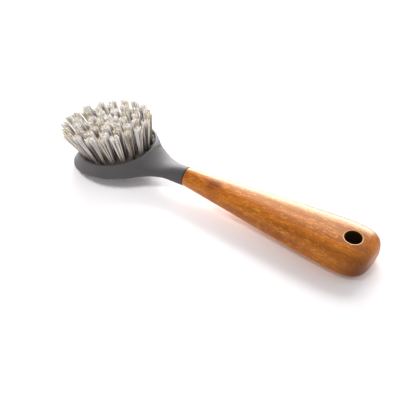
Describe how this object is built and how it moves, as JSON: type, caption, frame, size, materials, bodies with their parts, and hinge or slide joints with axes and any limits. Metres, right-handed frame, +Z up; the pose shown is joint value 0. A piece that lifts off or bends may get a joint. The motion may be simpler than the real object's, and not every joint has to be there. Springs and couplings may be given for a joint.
{
  "type": "cast iron brush",
  "caption": "Bamboo-handled scrubbing brush with a round moulded head, a scraper lip at its tip and staple-set tufts of stiff bristle; a hole in the butt hangs it up.",
  "frame": {"origin": "on the worktop under the middle of the brush's box, the brush lying on its back", "axes": "+X from the scraper lip to the butt, +Z up, bristles upwards; the brush is mirror-like about Y = 0"},
  "size_m": [0.2474, 0.064, 0.0456],
  "materials": {
    "bamboo": "satin oiled bamboo",
    "head_plastic": "satin grey moulded plastic",
    "bristle": "off-white and tan nylon filament",
    "anchor_wire": "plain drawn wire"
  },
  "bodies": {
    "root": {"handle": "bamboo", "head": "head_plastic", "center_tufts": "bristle", "inner_tuft_ring": "bristle", "middle_tuft_ring": "bristle", "outer_tuft_ring": "bristle", "tuft_anchor_01": "anchor_wire", "tuft_anchor_02": "anchor_wire", "tuft_anchor_03": "anchor_wire", "tuft_anchor_04": "anchor_wire", "tuft_anchor_05": "anchor_wire", "tuft_anchor_06": "anchor_wire", "tuft_anchor_07": "anchor_wire", "tuft_anchor_08": "anchor_wire", "tuft_anchor_09": "anchor_wire", "tuft_anchor_10": "anchor_wire", "tuft_anchor_11": "anchor_wire", "tuft_anchor_12": "anchor_wire", "tuft_anchor_13": "anchor_wire", "tuft_anchor_14": "anchor_wire", "tuft_anchor_15": "anchor_wire", "tuft_anchor_16": "anchor_wire", "tuft_anchor_17": "anchor_wire", "tuft_anchor_18": "anchor_wire", "tuft_anchor_19": "anchor_wire", "tuft_anchor_20": "anchor_wire", "tuft_anchor_21": "anchor_wire", "tuft_anchor_22": "anchor_wire", "tuft_anchor_23": "anchor_wire", "tuft_anchor_24": "anchor_wire", "tuft_anchor_25": "anchor_wire", "tuft_anchor_26": "anchor_wire", "tuft_anchor_27": "anchor_wire", "tuft_anchor_28": "anchor_wire", "tuft_anchor_29": "anchor_wire", "tuft_anchor_30": "anchor_wire", "tuft_anchor_31": "anchor_wire", "tuft_anchor_32": "anchor_wire", "tuft_anchor_33": "anchor_wire", "tuft_anchor_34": "anchor_wire", "tuft_anchor_35": "anchor_wire", "tuft_anchor_36": "anchor_wire", "tuft_anchor_37": "anchor_wire", "tuft_anchor_38": "anchor_wire", "tuft_anchor_39": "anchor_wire", "tuft_anchor_40": "anchor_wire", "tuft_anchor_41": "anchor_wire", "tuft_anchor_42": "anchor_wire", "tuft_anchor_43": "anchor_wire", "tuft_anchor_44": "anchor_wire", "tuft_anchor_45": "anchor_wire", "tuft_anchor_46": "anchor_wire", "tuft_anchor_47": "anchor_wire", "tuft_anchor_48": "anchor_wire"}
  },
  "joints": []
}
